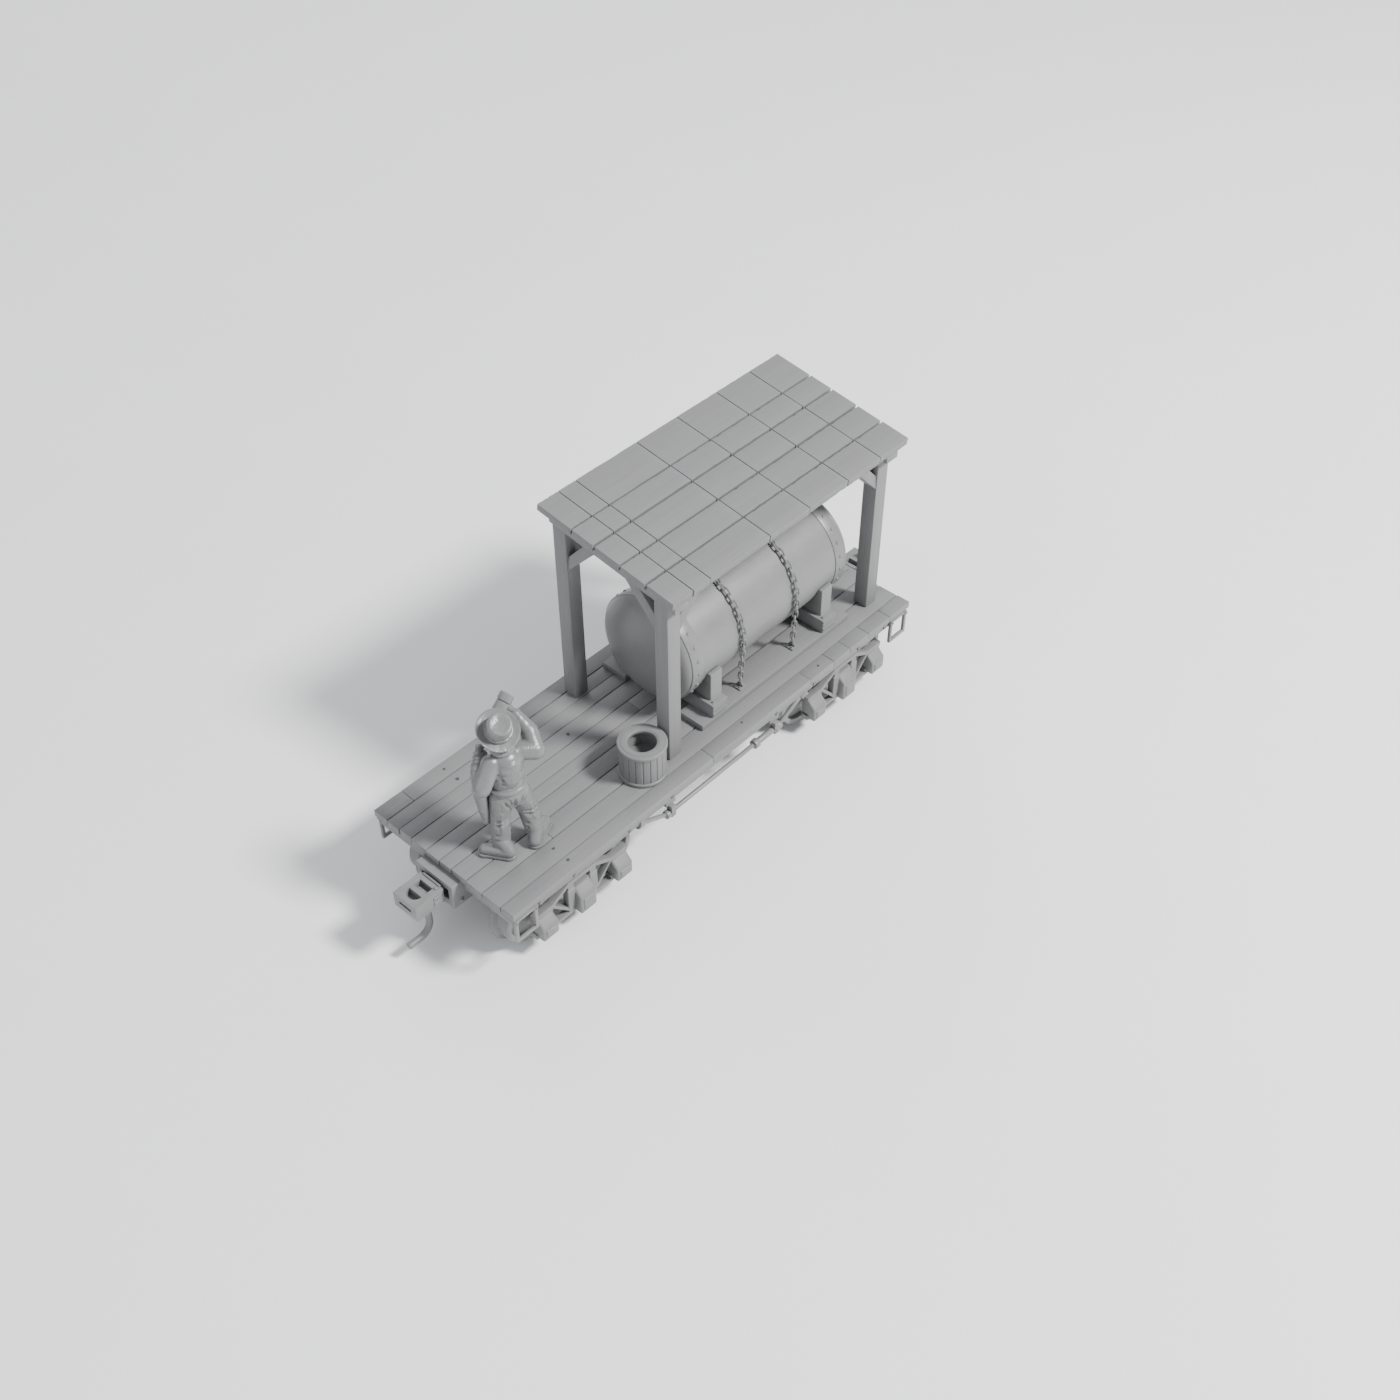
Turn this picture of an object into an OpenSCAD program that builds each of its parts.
// Model tank wagon: a short timber flat wagon carrying a roofed tank.
// Units are millimetres. X runs along the wagon, Y across it, Z up.
// The origin is under the middle of the deck, level with the lowest point
// of the wheel flanges.

/* [Deck and underframe] */
// Length of the deck boards over both ends
deck_length = 85.2; // [70:0.1:100]
// Width of the deck
deck_width = 28; // [22:0.1:32]
// Height of the deck top above the flange bottoms
deck_top = 14; // [12:0.1:18]
// Thickness of the deck boards
deck_board = 1.2; // [0.8:0.1:2]
// Depth of the side and end sills
sill_depth = 1.6; // [1:0.1:3]
// Drop of the truss rods below the deck top
rod_drop = 5.6; // [4:0.1:7]
// Radius of the truss rods
rod_radius = 0.35; // [0.2:0.05:0.6]
// Distance of the queen posts from mid length
queen_x = 11.3; // [8:0.1:14]

/* [Bogies] */
// Distance of each bogie centre from mid length
bogie_x = 28.8; // [26:0.1:32]
// Distance between the two axles of a bogie
wheelbase = 14.4; // [13:0.1:16]
// Wheel radius at the tread
tread_radius = 4.8; // [4:0.1:5.2]
// Wheel radius at the flange
flange_radius = 5.6; // [4.6:0.1:6]
// Distance between the backs of the two wheels of a set
back_to_back = 14.5; // [14:0.1:15]
// Width of a wheel
wheel_width = 2.8; // [2.2:0.1:3]
// Radial clearance of every running fit
running_gap = 0.05; // [0.02:0.01:0.1]

/* [Couplers] */
// Distance of the coupler faces from mid length
coupler_x = 49.4; // [47:0.1:52]
// Height of the coupler centre line
coupler_z = 10.7; // [9:0.1:12]
// Distance of the coupler pivots from mid length
pivot_x = 40.6; // [39:0.1:42]

/* [Roof] */
// Offset of the tank and its roof from the deck centre line
cargo_y = 0.83; // [0:0.01:1.5]
// Width of the square posts
post_size = 2.45; // [1.8:0.05:3]
// Height of the upper roof face along the low eave
eave_z = 45.4; // [42:0.1:50]
// Slope of the roof in degrees
roof_slope = 7.98; // [0:0.01:15]
// Thickness of the roof boards
roof_board = 1.3; // [0.8:0.1:2]

/* [Tank] */
// Radius of the tank
tank_radius = 8.6; // [7:0.1:9]
// Height of the tank axis above the deck
tank_height = 10.44; // [9:0.01:12]
// Depth of each dished end
dish_depth = 2.6; // [1.5:0.1:4]
// Position of the front end of the barrel
tank_front = -0.8; // [-2:0.1:2]
// Position of the rear end of the barrel
tank_rear = 33.1; // [30:0.1:35]

/* [Tub and figure] */
// Outer radius of the tub
tub_radius = 3.5; // [2.5:0.1:4]
// Height of the tub
tub_height = 5.9; // [4:0.1:8]
// Number of staves round the tub
stave_count = 20; // [12:1:32]
// Height of the figure over the hat
figure_height = 23.5; // [20:0.1:25]

/* [Hidden] */
board_under = deck_top - deck_board;
sill_low = board_under - sill_depth;
half_length = deck_length / 2;
half_width = deck_width / 2;
sill_outer = half_width - 0.6;
// upper edges of the deck boards, counted across from the low side
board_edges = [-half_width, -11.54, -7.98, -4.82, -1.85, 0.48, 3.19, 6.27, 8.71, 11.23, half_width];
board_gap = 0.14;
// end joints in the deck boards: which row, and where along the wagon
board_joints = [[0, -3.4], [0, 18.4], [0, 27.8], [0, 37.6], [5, -3.4], [9, -37.6]];
rod_y = half_width - 0.95;
rod_z = deck_top - rod_drop;
axle_z = flange_radius;
axle_y = back_to_back / 2 + wheel_width;
axle_radius = 1;
journal_radius = 0.6;
journal_end = 13.2;
hub_radius = 1.7;
box_inner = 11.2;
box_outer = 13.9;
bar_inner = 11.6;
bar_width = 1;
plate_z = 9.7;
pin_radius = 1;
pivot_radius = 0.8;
shank_height = 1.7;
box_width = 7.3;
head_width = 4.6;
head_rear = 44.5;
post_x_front = -6.85;
post_x_rear = 38;
post_y = 9.45;
roof_front = -9.4;
roof_rear = 40.4;
roof_low = -12.2;
roof_width = 25.4;
board_lines = [0, 5.01, 9.65, 14.5, 18.68, roof_width];
score_lines = [-5.4, -2.1, 9.9, 18.2, 26.6, 33.9];
tank_z = deck_top + tank_height;
skid_height = 1;
skid_width = 4.7;
skid_y = 7.83;
timber_top = deck_top + 3.4;
chock_top = deck_top + 8.4;
chain_radius = 0.42;
chain_sweep = tank_radius + chain_radius + 0.05;
chain_low = 12;
chain_front = 9.4;
chain_rear = 21.3;
tub_x = -12;
tub_y = -8.3;
figure_x = -33.8;
figure_y = -4.9;
timber = [0.56, 0.56, 0.56];
metal = [0.6, 0.6, 0.6];
cast = [0.5, 0.5, 0.5];

// a box centred on X and Y that rises from z
module block(size, at) {
    translate([at[0] - size[0] / 2, at[1] - size[1] / 2, at[2]]) cube(size);
}

// a round bar between two points
module bar(from, to, radius, sides = 24) {
    span = to - from;
    length = norm(span);
    translate(from)
        rotate([0, acos(span[2] / length), atan2(span[1], span[0])])
            cylinder(h = length, r = radius, $fn = sides);
}

// the deck: ten lengthwise rows of boards with narrow gaps, three rows in several lengths
module deck_boards() {
    color(timber) difference() {
        for (i = [0 : len(board_edges) - 2])
            translate([-half_length, board_edges[i] + board_gap / 2, board_under])
                cube([deck_length, board_edges[i + 1] - board_edges[i] - board_gap, deck_board]);
        for (joint = board_joints)
            translate([joint[1] - board_gap / 2, board_edges[joint[0]], board_under - 1])
                cube([board_gap, board_edges[joint[0] + 1] - board_edges[joint[0]], deck_board + 2]);
    }
}

module side_sill(side) {
    color(timber) block([deck_length - 4.4, 1.4, sill_depth], [0, side * (sill_outer - 0.7), sill_low]);
}

module side_sill_near() { side_sill(-1); }
module side_sill_far() { side_sill(1); }

// an end sill in two halves, one each side of the draft box
module end_sill(end) {
    span = sill_outer - box_width / 2;
    color(timber) for (side = [-1, 1])
        block([1.8, span, sill_depth],
              [end * (half_length - 1.3), side * (sill_outer - span / 2), sill_low]);
}

module end_sill_front() { end_sill(-1); }
module end_sill_rear() { end_sill(1); }

// the lengthwise centre timbers, between the two crossbeams
module centre_sill(side) {
    color(timber) block([2 * bogie_x - 3.2, 1.8, sill_depth], [0, side * 2.7, sill_low]);
}

module centre_sill_near() { centre_sill(-1); }
module centre_sill_far() { centre_sill(1); }

// the crossbeam over a bogie, with its centre plate and king pin bore
module bogie_crossbeam(end) {
    color(timber) translate([end * bogie_x, 0, 0]) difference() {
        union() {
            block([3.2, 24, board_under - 10], [0, 0, 10]);
            translate([0, 0, plate_z + 0.05]) cylinder(h = 1, r = 2.4, $fn = 48);
        }
        translate([0, 0, plate_z - 0.5]) cylinder(h = 2.5, r = pin_radius, $fn = 48);
    }
}

module bogie_crossbeam_front() { bogie_crossbeam(-1); }
module bogie_crossbeam_rear() { bogie_crossbeam(1); }

// a needle beam with a short queen post near each end
module needle_beam(end) {
    beam_low = sill_low - 1.4;
    color(timber) difference() {
        union() {
            block([2, 26, sill_low - beam_low], [end * queen_x, 0, beam_low]);
            for (side = [-1, 1])
                block([0.9, 1.1, beam_low - rod_z + 0.7], [end * queen_x, side * rod_y, rod_z - 0.7]);
        }
        for (side = [-1, 1])
            translate([end * queen_x - 2, side * rod_y, rod_z]) rotate([0, 90, 0])
                cylinder(h = 4, r = rod_radius, $fn = 24);
    }
}

module needle_beam_front() { needle_beam(-1); }
module needle_beam_rear() { needle_beam(1); }

// a truss rod: level between the queen posts, rising to the sill at both ends
module truss_rod(side) {
    rise_x = queen_x + 0.9;
    foot_x = 18.2;
    color(metal) union() {
        bar([-rise_x, side * rod_y, rod_z], [rise_x, side * rod_y, rod_z], rod_radius);
        for (end = [-1, 1]) {
            translate([end * (queen_x + 0.9) - 0.4, side * rod_y, rod_z]) rotate([0, 90, 0])
                cylinder(h = 0.8, r = 0.62, $fn = 32);
            difference() {
                bar([end * rise_x, side * rod_y, rod_z],
                    [end * foot_x, side * rod_y, sill_low + 0.2], rod_radius - 0.02);
                block([6, 3, 2], [end * foot_x, side * rod_y, sill_low]);
            }
        }
    }
}

module truss_rod_near() { truss_rod(-1); }
module truss_rod_far() { truss_rod(1); }

// a tightening sleeve on each truss rod
module turnbuckles() {
    color(metal) for (side = [-1, 1]) translate([6.5, side * rod_y, rod_z]) rotate([0, 90, 0])
        difference() {
            cylinder(h = 1.6, r = 0.75, $fn = 24);
            translate([0, 0, -0.5]) cylinder(h = 2.6, r = rod_radius, $fn = 24);
        }
}

// an iron step loop at each corner, fixed to the outer face of the side sill
module step_irons() {
    color(metal) for (end = [-1, 1]) for (side = [-1, 1])
        translate([end * 40.2, side * (sill_outer + 0.3), 8]) difference() {
            block([4, 0.6, board_under - 8.4], [0, 0, 0]);
            block([2.8, 2, board_under], [0, 0, 0.6]);
        }
}

// the headed pin that holds each bogie
module king_pins() {
    color(metal) for (end = [-1, 1]) translate([end * bogie_x, 0, 0]) {
        translate([0, 0, 5.3]) cylinder(h = 6, r = pin_radius, $fn = 48);
        translate([0, 0, 4.9]) cylinder(h = 0.9, r = 1.7, $fn = 48);
    }
}

// the hollow box that carries a coupler, with the pivot post inside it
module draft_box(end) {
    color(cast) translate([end * 41.1, 0, coupler_z]) {
        difference() {
            block([6, box_width, 2.1 + 2.3], [0, 0, -2.3]);
            translate([end * 1.15, 0, 0]) block([6.9, 5.4, 2], [0, 0, -1]);
        }
        translate([-end * 0.5, 0, -1.2]) cylinder(h = 2.4, r = pivot_radius, $fn = 48);
    }
}

module draft_box_front() { draft_box(-1); }
module draft_box_rear() { draft_box(1); }

// a coupler: pivot eye, shank and box-shaped head with a latch window
module coupler(end) {
    low = coupler_z - shank_height / 2;
    head_mid = (head_rear + coupler_x) / 2;
    color(cast) difference() {
        union() {
            translate([end * pivot_x, 0, low]) cylinder(h = shank_height, r = 1.6, $fn = 48);
            block([head_rear - pivot_x + 1, 2.4, shank_height],
                  [end * (head_rear + pivot_x + 1) / 2, 0, low]);
            block([coupler_x - head_rear, head_width, 2.6], [end * head_mid, 0, coupler_z - 1.3]);
        }
        translate([end * pivot_x, 0, low - 1])
            cylinder(h = shank_height + 2, r = pivot_radius + running_gap, $fn = 48);
        // window in the top of the head, crossed by one bar
        translate([end * 47.4, 0, coupler_z + 0.1]) intersection() {
            cylinder(h = 3, r = 1.25, $fn = 48);
            block([3, 3, 3], [end * 1.5, 0, 0]);
        }
        block([1.3, 2.4, 3], [end * 46, 0, coupler_z + 0.1]);
        // slot across the face
        block([1, 2.4, 0.5], [end * coupler_x, 0, coupler_z - 0.15]);
    }
}

module coupler_front() { coupler(-1); }
module coupler_rear() { coupler(1); }

// the curved pin that hangs under a coupler head and turns forward
module trip_pin(end) {
    bend_z = 4.7;
    color(metal) translate([end * 46, 0, 0]) rotate([0, 0, end > 0 ? 0 : 180]) {
        translate([0, 0, bend_z]) cylinder(h = coupler_z - 1.3 - bend_z, r = 0.5, $fn = 32);
        translate([2, 0, bend_z]) rotate([90, 0, 0]) rotate([0, 0, 180])
            rotate_extrude(angle = 90, $fn = 64) translate([2, 0]) circle(r = 0.5, $fn = 32);
        translate([2, 0, bend_z - 2]) rotate([0, 90, 0]) cylinder(h = 2.15, r = 0.5, $fn = 32);
    }
}

module trip_pin_front() { trip_pin(-1); }
module trip_pin_rear() { trip_pin(1); }

// the swivelling cross member of a bogie
module bogie_bolster(end) {
    color(cast) translate([end * bogie_x, 0, 0]) difference() {
        union() {
            block([2.6, 22.9, 2.6], [0, 0, 6.4]);
            translate([0, 0, 6.4]) cylinder(h = plate_z - 6.4, r = 2.4, $fn = 48);
        }
        translate([0, 0, 5]) cylinder(h = 6, r = pin_radius + running_gap, $fn = 48);
    }
}

module bogie_bolster_front() { bogie_bolster(-1); }
module bogie_bolster_rear() { bogie_bolster(1); }

// a sloping strap in a side frame, given by its two ends and thickness
module strap(x1, z1, x2, z2, thick) {
    linear_extrude(height = bar_width)
        polygon([[x1, z1], [x2, z2], [x2, z2 + thick], [x1, z1 + thick]]);
}

// an arch-bar side frame with its bolster column and two axle boxes
module side_frame(end, side) {
    half_base = wheelbase / 2;
    color(cast) translate([end * bogie_x, 0, 0]) difference() {
        union() {
            for (s = [-1, 1]) {
                translate([s * half_base, side * (box_inner + box_outer) / 2, axle_z - 1.9])
                    block([2.9, box_outer - box_inner, 3.7], [0, 0, 0]);
                translate([0, side > 0 ? bar_inner + bar_width : -bar_inner, 0]) rotate([90, 0, 0]) {
                    strap(s * 8.9, 7.3, s * 5.6, 7.3, 0.7);
                    strap(s * 5.7, 7.3, s * 2.6, 9.0, 0.7);
                    strap(s * 5.7, 7.3, s * 2.6, 3.9, 0.7);
                    strap(s * 8.4, 3.1, s * 2.5, 3.1, 0.6);
                }
                block([1.1, bar_width, 6.6], [s * 2.1, side * (bar_inner + bar_width / 2), 3.1]);
            }
            block([5.3, bar_width, 0.7], [0, side * (bar_inner + bar_width / 2), 9.0]);
            block([5.3, bar_width, 1.5], [0, side * (bar_inner + bar_width / 2), 3.1]);
            block([2.6, 2.4, 4.6], [0, side * 12.65, 3.4]);
        }
        for (s = [-1, 1])
            translate([s * half_base, side * (box_inner - 0.5), axle_z]) rotate([-side * 90, 0, 0])
                cylinder(h = journal_end - box_inner + 0.7, r = journal_radius + running_gap, $fn = 48);
    }
}

module side_frame_front_near() { side_frame(-1, -1); }
module side_frame_front_far() { side_frame(-1, 1); }
module side_frame_rear_near() { side_frame(1, -1); }
module side_frame_rear_far() { side_frame(1, 1); }

// two dished wheels and their axle
module wheelset(x) {
    inner = back_to_back / 2;
    color(metal) translate([x, 0, axle_z]) rotate([90, 0, 0]) rotate_extrude($fn = 96)
        polygon([
            [0, -journal_end], [journal_radius, -journal_end], [journal_radius, -axle_y - 0.2],
            [hub_radius, -axle_y - 0.2], [hub_radius, -axle_y + 0.7], [tread_radius - 1, -axle_y + 0.7],
            [tread_radius - 0.8, -axle_y], [tread_radius, -axle_y], [tread_radius, -inner - 0.8],
            [flange_radius, -inner - 0.5], [flange_radius, -inner - 0.2], [flange_radius - 0.3, -inner],
            [tread_radius - 0.9, -inner], [tread_radius - 1.1, -inner - 0.8], [hub_radius, -inner - 0.8],
            [hub_radius, -inner], [axle_radius, -inner],
            [axle_radius, inner], [hub_radius, inner], [hub_radius, inner + 0.8],
            [tread_radius - 1.1, inner + 0.8], [tread_radius - 0.9, inner], [flange_radius - 0.3, inner],
            [flange_radius, inner + 0.2], [flange_radius, inner + 0.5], [tread_radius, inner + 0.8],
            [tread_radius, axle_y], [tread_radius - 0.8, axle_y], [tread_radius - 1, axle_y - 0.7],
            [hub_radius, axle_y - 0.7], [hub_radius, axle_y + 0.2], [journal_radius, axle_y + 0.2],
            [journal_radius, journal_end], [0, journal_end]
        ]);
}

module wheelset_1() { wheelset(-bogie_x - wheelbase / 2); }
module wheelset_2() { wheelset(-bogie_x + wheelbase / 2); }
module wheelset_3() { wheelset(bogie_x - wheelbase / 2); }
module wheelset_4() { wheelset(bogie_x + wheelbase / 2); }

// height of the lower face of the roof boards at a given y
function board_face(y) = eave_z + (y - roof_low) * tan(roof_slope) - roof_board / cos(roof_slope);
rafter_depth = 2;
plate_depth = 1.5;

// a square post cut to the slope of the rafters
module roof_post(x, side) {
    y = cargo_y + side * post_y;
    low = board_face(y - post_size / 2) - rafter_depth;
    high = board_face(y + post_size / 2) - rafter_depth;
    color(timber) translate([x - post_size / 2, y + post_size / 2, deck_top]) rotate([90, 0, 0])
        rotate([0, 90, 0]) linear_extrude(height = post_size) polygon([
            [0, 0], [0, high - deck_top], [-post_size, low - deck_top], [-post_size, 0]]);
}

module post_front_near() { roof_post(post_x_front, -1); }
module post_front_far() { roof_post(post_x_front, 1); }
module post_rear_near() { roof_post(post_x_rear, -1); }
module post_rear_far() { roof_post(post_x_rear, 1); }

// sloping braces from the posts, four up to the rafters and four up to the plates
module knee_braces() {
    reach = 4.6;
    half = post_size / 2;
    color(timber) for (end = [-1, 1]) for (side = [-1, 1]) {
        x = end < 0 ? post_x_front : post_x_rear;
        y = cargo_y + side * post_y;
        face_y = y - side * half;
        tip_y = face_y - side * reach;
        top = board_face(tip_y) - rafter_depth;
        translate([x + 0.7, 0, 0]) rotate([90, 0, -90]) linear_extrude(height = 1.4) polygon([
            [-face_y, top - reach - 1.1], [-face_y, top - reach + 0.5],
            [-tip_y - side * 0.9, board_face(tip_y + side * 0.9) - rafter_depth],
            [-tip_y + side * 0.6, board_face(tip_y - side * 0.6) - rafter_depth]]);
        face_x = x - end * half;
        tip_x = face_x - end * reach;
        plate_low = board_face(y - 0.7) - plate_depth;
        translate([0, y + 0.7, 0]) rotate([90, 0, 0]) linear_extrude(height = 1.4) polygon([
            [face_x, plate_low - reach - 1.1], [face_x, plate_low - reach + 0.5],
            [tip_x + end * 0.9, plate_low], [tip_x - end * 0.6, plate_low]]);
    }
}

// a cross rafter on each pair of posts
module roof_rafters() {
    y1 = roof_low + 0.9;
    y2 = roof_low + roof_width * cos(roof_slope) - 0.9;
    color(timber) for (x = [post_x_front, post_x_rear])
        translate([x + 1.3, 0, 0]) rotate([90, 0, -90]) linear_extrude(height = 2.6) polygon([
            [-y1, board_face(y1)], [-y2, board_face(y2)],
            [-y2, board_face(y2) - rafter_depth], [-y1, board_face(y1) - rafter_depth]]);
}

// a lengthwise plate above each side, between the rafters
module roof_plates() {
    color(timber) for (side = [-1, 1]) {
        y = cargo_y + side * post_y;
        low = board_face(y - 0.9);
        high = board_face(y + 0.9);
        translate([post_x_rear - 1.3, 0, 0]) rotate([90, 0, -90])
            linear_extrude(height = post_x_rear - post_x_front - 2.6) polygon([
                [-y + 0.9, low], [-y - 0.9, high],
                [-y - 0.9, high - plate_depth], [-y + 0.9, low - plate_depth]]);
    }
}

// five lengthwise roof boards, each scored across at the same places
module roof_boards() {
    color(timber) translate([0, roof_low, eave_z]) rotate([roof_slope, 0, 0])
        for (i = [0 : len(board_lines) - 2])
            translate([roof_front, board_lines[i] + 0.06, -roof_board]) difference() {
                cube([roof_rear - roof_front, board_lines[i + 1] - board_lines[i] - 0.12, roof_board]);
                for (x = score_lines)
                    translate([x - roof_front - 0.08, -1, roof_board - 0.25]) cube([0.16, 8, 1]);
            }
}

// places a shape on the tank axis, with its own Z along the wagon
module on_tank_axis(x) {
    translate([x, cargo_y, tank_z]) rotate([0, 90, 0]) children();
}

module tank_barrel() {
    color(metal) on_tank_axis(tank_front) difference() {
        cylinder(h = tank_rear - tank_front, r = tank_radius, $fn = 96);
        translate([0, 0, -1])
            cylinder(h = tank_rear - tank_front + 2, r = tank_radius - 0.8, $fn = 96);
    }
}

// a dished end that closes the barrel, its outline part of an ellipse
module tank_end(x, end) {
    color(metal) translate([x, cargo_y, tank_z]) rotate([0, end * 90, 0]) rotate_extrude($fn = 96)
        polygon([
            [0, 0], [tank_radius, 0],
            for (a = [10 : 10 : 80]) [tank_radius * cos(a), dish_depth * sin(a)],
            [0, dish_depth]
        ]);
}

module tank_end_front() { tank_end(tank_front, -1); }
module tank_end_rear() { tank_end(tank_rear, 1); }

// a thin joint strip round the barrel near each end
module tank_bands() {
    color(metal) for (x = [tank_front, tank_rear - 2.2]) on_tank_axis(x) difference() {
        cylinder(h = 2.2, r = tank_radius + 0.12, $fn = 96);
        translate([0, 0, -1]) cylinder(h = 4.2, r = tank_radius, $fn = 96);
    }
}

// a ring of small rivet heads on each strip
module tank_rivets() {
    color(metal) for (x = [tank_front + 1.1, tank_rear - 1.1]) for (i = [0 : 23])
        if (abs(i - 18) > 4)
            translate([x, cargo_y, tank_z]) rotate([i * 15, 0, 0])
                translate([0, tank_radius + 0.12, 0]) rotate([-90, 0, 0])
                    cylinder(h = 0.16, r1 = 0.26, r2 = 0.14, $fn = 16);
}

// two flat runners under the cradles
module tank_skids() {
    color(timber) for (side = [-1, 1])
        block([33.5, skid_width, skid_height], [16.15, cargo_y + side * skid_y, deck_top]);
}

// a cross timber with an upright chock at each end, cut to the round of the tank
module cradle(x) {
    color(timber) difference() {
        union() {
            block([3.1, 20.36, timber_top - deck_top - skid_height], [x, cargo_y, deck_top + skid_height]);
            block([2.4, 18.26, chock_top - timber_top + 0.1], [x + 0.35, cargo_y, timber_top - 0.1]);
        }
        on_tank_axis(x - 5) cylinder(h = 10, r = tank_radius + 0.02, $fn = 96);
    }
}

module cradle_front() { cradle(3.15); }
module cradle_rear() { cradle(28.15); }

// the path of a chain: over the tank and down to a staple on each runner
module chain_path(x) {
    color(metal) union() {
        translate([x, cargo_y, tank_z]) rotate([0, 90, 0]) rotate([0, 0, 90 - chain_low])
            rotate_extrude(angle = 180 + 2 * chain_low, $fn = 96)
                translate([chain_sweep, 0]) circle(r = chain_radius, $fn = 16);
        for (side = [-1, 1])
            bar([x, cargo_y + side * chain_sweep * cos(chain_low), tank_z - chain_sweep * sin(chain_low)],
                [x, cargo_y + side * 8.63, deck_top + skid_height + 0.9], chain_radius, 16);
    }
}

module chain_front() { chain_path(chain_front); }
module chain_rear() { chain_path(chain_rear); }

// the small plates and lugs that hold the chain ends
module chain_staples() {
    color(metal) for (x = [chain_front, chain_rear]) for (side = [-1, 1]) {
        block([1.6, 1.4, 0.3], [x, cargo_y + side * 8.63, deck_top + skid_height]);
        block([1, 0.9, 0.5], [x, cargo_y + side * 8.63, deck_top + skid_height + 0.3]);
    }
}

// a ring of staves round a solid floor, open at the top
module tub_staves() {
    color(timber) translate([tub_x, tub_y, deck_top]) difference() {
        cylinder(h = tub_height - 0.7, r = tub_radius - 0.2, $fn = 80);
        translate([0, 0, 3.2]) cylinder(h = 5, r = 2.6, $fn = 64);
        for (i = [0 : stave_count - 1]) rotate([0, 0, i * 360 / stave_count])
            translate([tub_radius - 0.32, -0.09, 0.7]) cube([1, 0.18, tub_height]);
    }
}

// the broad ring that covers the top edge of the tub
module tub_lid() {
    color(timber) translate([tub_x, tub_y, deck_top + tub_height - 0.7]) difference() {
        cylinder(h = 0.7, r = tub_radius + 0.1, $fn = 80);
        translate([0, 0, -1]) cylinder(h = 3, r = 2.05, $fn = 64);
    }
}

module tub_hoop() {
    color(metal) translate([tub_x, tub_y, deck_top]) difference() {
        cylinder(h = 0.6, r = tub_radius + 0.1, $fn = 80);
        translate([0, 0, -1]) cylinder(h = 3, r = tub_radius - 0.2, $fn = 80);
    }
}

// the standing figure: boots, legs, coat, bent arms and head
module figure_body() {
    color(cast) translate([figure_x, figure_y, deck_top]) {
        bar([-2.6, 0.5, 0.3], [-0.8, 0.5, 10.4], 1.2);
        bar([2.3, -1.9, 0.3], [0.7, -0.5, 10.4], 1.2);
        block([2, 3.4, 1.2], [-3, 1, 0]);
        block([3.6, 2, 1.2], [3.6, -1.5, 0]);
        translate([0, 0, 9.6]) cylinder(h = 7.4, r1 = 2.1, r2 = 2.5, $fn = 48);
        translate([0, 0, 16.6]) cylinder(h = 3.2, r = 1.25, $fn = 48);
        bar([-1.9, 1.1, 16], [-4.4, 0.9, 13.3], 0.85);
        bar([-4.4, 0.9, 13.3], [-1.5, 2.6, 17.6], 0.75);
        bar([1.9, -1, 16], [4.6, -0.8, 15.5], 0.85);
        bar([4.6, -0.8, 15.5], [2.9, 2.5, 20.2], 0.75);
    }
}

module figure_hat() {
    color(cast) translate([figure_x + 0.1, figure_y + 0.3, deck_top + 19.8]) {
        cylinder(h = 0.5, r = 2.2, $fn = 64);
        translate([0, 0, 0.4]) cylinder(h = figure_height - 20.2, r1 = 1.9, r2 = 1.6, $fn = 48);
    }
}

// the flask held up in front of the face
module figure_flask() {
    color(cast) bar([figure_x + 2.6, figure_y + 2.6, deck_top + 19.4],
                    [figure_x + 3.6, figure_y + 3.3, deck_top + 23.4], 0.95, 32);
}

deck_boards();
side_sill_near();
side_sill_far();
end_sill_front();
end_sill_rear();
centre_sill_near();
centre_sill_far();
bogie_crossbeam_front();
bogie_crossbeam_rear();
needle_beam_front();
needle_beam_rear();
truss_rod_near();
truss_rod_far();
turnbuckles();
step_irons();
king_pins();
draft_box_front();
draft_box_rear();
coupler_front();
coupler_rear();
trip_pin_front();
trip_pin_rear();
bogie_bolster_front();
bogie_bolster_rear();
side_frame_front_near();
side_frame_front_far();
side_frame_rear_near();
side_frame_rear_far();
wheelset_1();
wheelset_2();
wheelset_3();
wheelset_4();
post_front_near();
post_front_far();
post_rear_near();
post_rear_far();
knee_braces();
roof_rafters();
roof_plates();
roof_boards();
tank_barrel();
tank_end_front();
tank_end_rear();
tank_bands();
tank_rivets();
tank_skids();
cradle_front();
cradle_rear();
chain_front();
chain_rear();
chain_staples();
tub_staves();
tub_lid();
tub_hoop();
figure_body();
figure_hat();
figure_flask();
